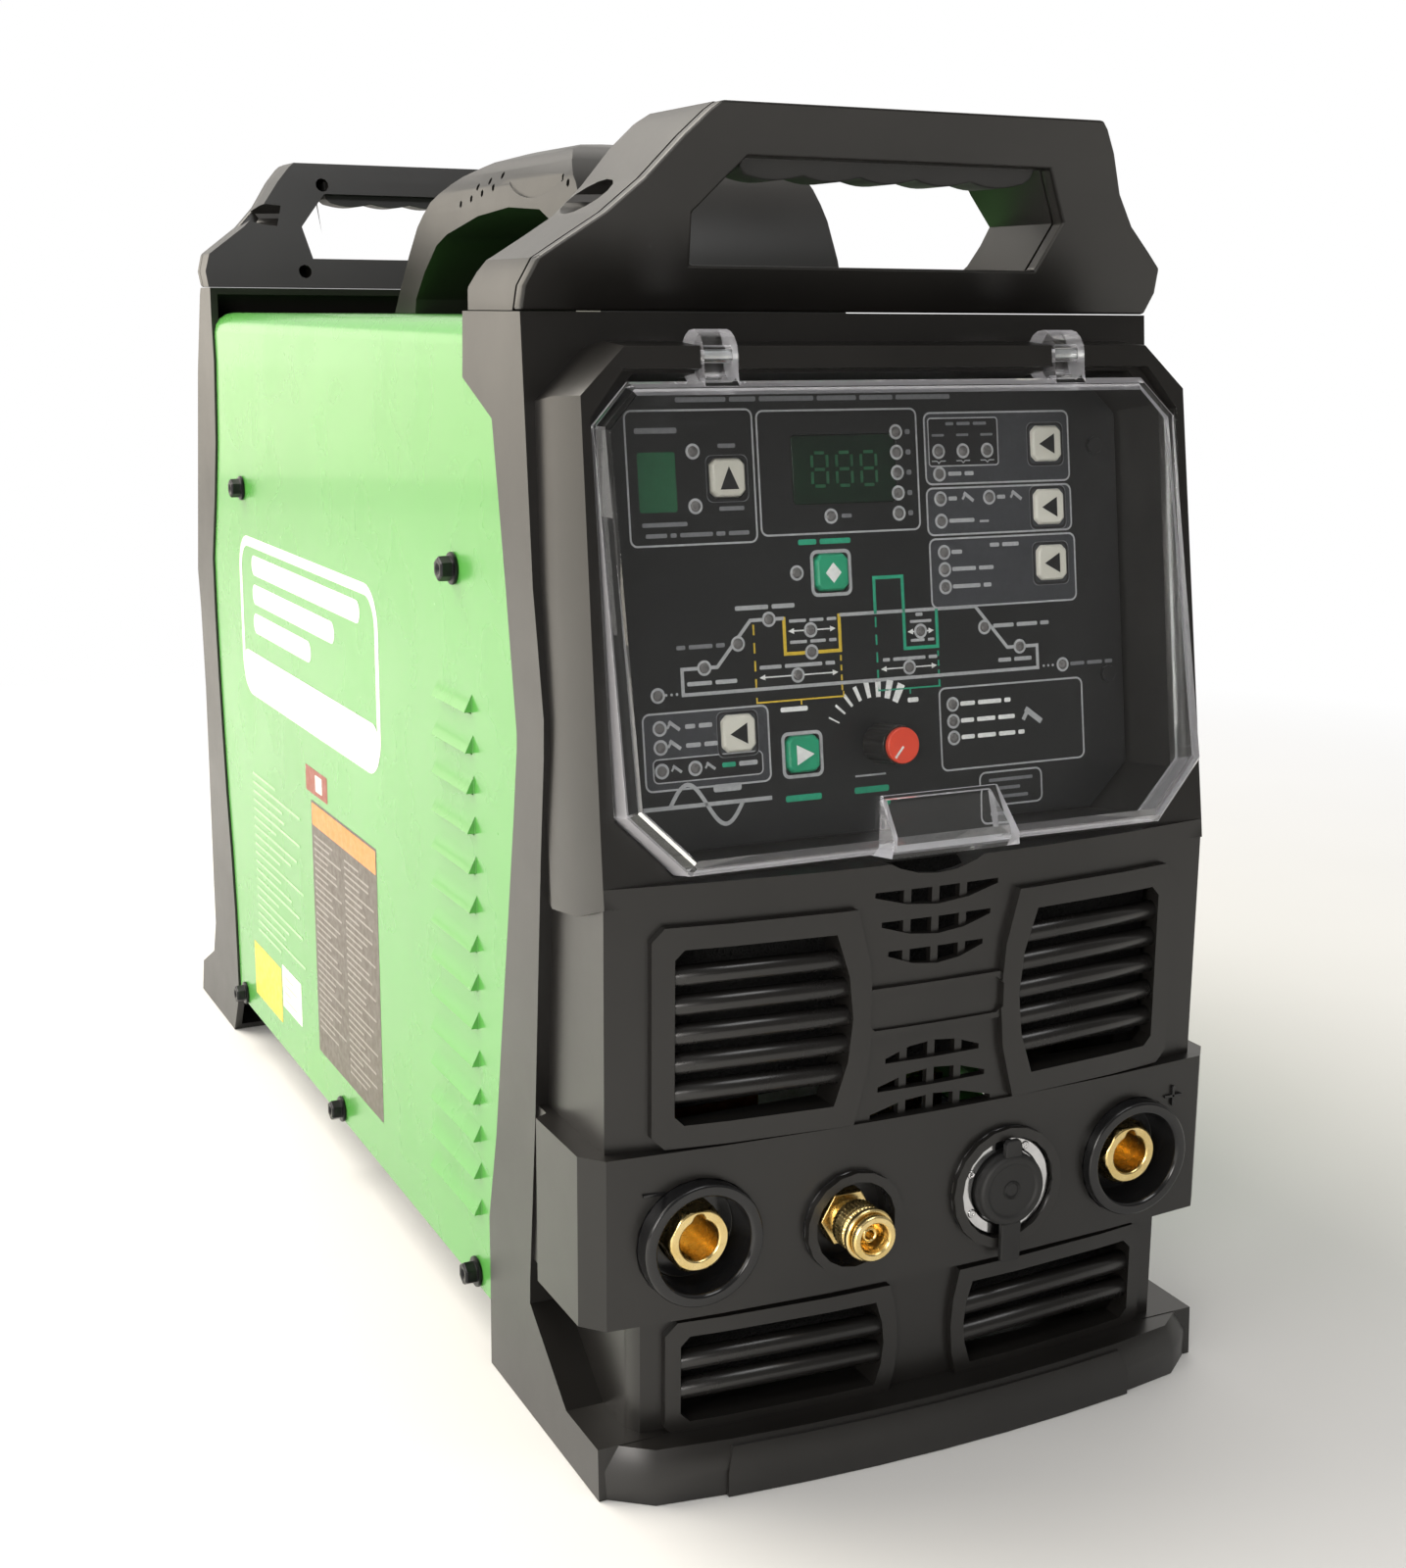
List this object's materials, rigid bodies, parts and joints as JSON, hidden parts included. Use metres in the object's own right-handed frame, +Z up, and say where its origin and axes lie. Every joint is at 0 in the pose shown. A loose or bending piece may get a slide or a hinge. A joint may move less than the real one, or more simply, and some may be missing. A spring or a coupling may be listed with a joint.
{
  "type": "tig welding machine",
  "caption": "Portable TIG welding machine: green steel case between black plastic ends, two carry handles, control panel behind a hinged clear cover, welding, gas and control sockets.",
  "frame": {"origin": "on the floor, under the middle of the machine's length and width", "axes": "+Z up; the front with the control panel and sockets faces -Y; +X is to the right seen from the front"},
  "size_m": [0.2326, 0.564, 0.4207],
  "materials": {
    "black_plastic": "satin, fine moulded texture",
    "green_paint": "gloss powder coat",
    "zinc_steel": "zinc plated",
    "soft_rubber": "matte, moulded",
    "panel_film": "satin printed film",
    "display_lens": "gloss, tinted",
    "beige_key": "satin",
    "green_key": "satin",
    "red_cap": "semi-gloss",
    "circuit_board": "solder mask",
    "clear_plastic": "clear polycarbonate",
    "brass": "machined",
    "chrome": "polished",
    "black_steel": "black oxide",
    "aluminium": "extruded",
    "core_steel": "varnished laminations and windings"
  },
  "bodies": {
    "machine": {"front_bezel": "black_plastic", "case_cover": "green_paint", "base_pan": "zinc_steel", "rear_bezel": "black_plastic", "front_handle_shell": "black_plastic", "front_handle_back": "black_plastic", "front_handle_grip": "soft_rubber", "rear_handle_shell": "black_plastic", "rear_handle_back": "black_plastic", "rear_handle_grip": "soft_rubber", "cable_saddle": "black_plastic", "control_fascia": "panel_film", "display_window": "display_lens", "encoder": "zinc_steel", "panel_board": "circuit_board", "cover_pin_left": "zinc_steel", "cover_pin_right": "zinc_steel", "weld_socket_negative_shroud": "black_plastic", "weld_socket_negative_brass": "brass", "weld_socket_positive_shroud": "black_plastic", "weld_socket_positive_brass": "brass", "gas_outlet_body": "brass", "control_socket_shell": "chrome", "side_screw_left_1": "black_steel", "side_screw_right_1": "black_steel", "side_screw_left_2": "black_steel", "side_screw_right_2": "black_steel", "side_screw_left_3": "black_steel", "side_screw_right_3": "black_steel", "side_screw_left_4": "black_steel", "side_screw_right_4": "black_steel", "side_screw_left_5": "black_steel", "side_screw_right_5": "black_steel", "fan_frame": "black_plastic", "fan_guard": "black_steel", "main_board": "circuit_board", "heat_sink": "aluminium", "transformer": "core_steel", "gas_valve": "brass", "power_switch_frame": "black_plastic", "gas_inlet": "brass", "cord_gland": "black_plastic"},
    "cover": {"clear_cover": "clear_plastic"},
    "knob": {"knob_body": "black_plastic", "knob_cap": "red_cap"},
    "gas_sleeve": {"gas_outlet_sleeve": "brass"},
    "dust_cap": {"control_socket_cap": "soft_rubber"},
    "fan": {"fan_rotor": "black_plastic"},
    "rocker": {"power_switch_rocker": "black_plastic"},
    "key_memory": {"button_memory": "beige_key"},
    "key_waveform": {"button_waveform": "beige_key"},
    "key_trigger_mode": {"button_trigger_mode": "beige_key"},
    "key_pulse_mode": {"button_pulse_mode": "beige_key"},
    "key_gas_purge": {"button_gas_purge": "green_key"},
    "key_start_mode": {"button_start_mode": "beige_key"},
    "key_select": {"button_select": "green_key"}
  },
  "joints": [
    {"name": "cover_hinge", "type": "hinge", "parent": "machine", "child": "cover", "pos_m": [0, -0.22921, 0.34073], "axis": [-1, 0, 0], "range_deg": [0, 115]},
    {"name": "knob_turn", "type": "hinge", "parent": "machine", "child": "knob", "pos_m": [0.0015, -0.22613, 0.21951], "axis": [0, -0.9902, 0.1399], "continuous": true},
    {"name": "gas_sleeve_slide", "type": "slide", "parent": "machine", "child": "gas_sleeve", "axis": [0, 1, 0], "range_m": [0, 0.0025], "stiffness_N_per_m": 600},
    {"name": "dust_cap_hinge", "type": "hinge", "parent": "machine", "child": "dust_cap", "pos_m": [0.028, -0.271, 0.0576], "axis": [1, 0, 0], "range_deg": [0, 150]},
    {"name": "fan_spin", "type": "hinge", "parent": "machine", "child": "fan", "pos_m": [0, 0.225, 0.15], "axis": [0, 1, 0], "continuous": true},
    {"name": "power_rocker_tilt", "type": "hinge", "parent": "machine", "child": "rocker", "pos_m": [0.052, 0.2119, 0.286], "axis": [1, 0, 0], "range_deg": [0, 12]},
    {"name": "key_memory_press", "type": "slide", "parent": "machine", "child": "key_memory", "axis": [0, 0.9902, -0.1399], "range_m": [0, 0.0012], "stiffness_N_per_m": 400},
    {"name": "key_waveform_press", "type": "slide", "parent": "machine", "child": "key_waveform", "axis": [0, 0.9902, -0.1399], "range_m": [0, 0.0012], "stiffness_N_per_m": 400},
    {"name": "key_trigger_mode_press", "type": "slide", "parent": "machine", "child": "key_trigger_mode", "axis": [0, 0.9902, -0.1399], "range_m": [0, 0.0012], "stiffness_N_per_m": 400},
    {"name": "key_pulse_mode_press", "type": "slide", "parent": "machine", "child": "key_pulse_mode", "axis": [0, 0.9902, -0.1399], "range_m": [0, 0.0012], "stiffness_N_per_m": 400},
    {"name": "key_gas_purge_press", "type": "slide", "parent": "machine", "child": "key_gas_purge", "axis": [0, 0.9902, -0.1399], "range_m": [0, 0.0012], "stiffness_N_per_m": 400},
    {"name": "key_start_mode_press", "type": "slide", "parent": "machine", "child": "key_start_mode", "axis": [0, 0.9902, -0.1399], "range_m": [0, 0.0012], "stiffness_N_per_m": 400},
    {"name": "key_select_press", "type": "slide", "parent": "machine", "child": "key_select", "axis": [0, 0.9902, -0.1399], "range_m": [0, 0.0012], "stiffness_N_per_m": 400}
  ]
}
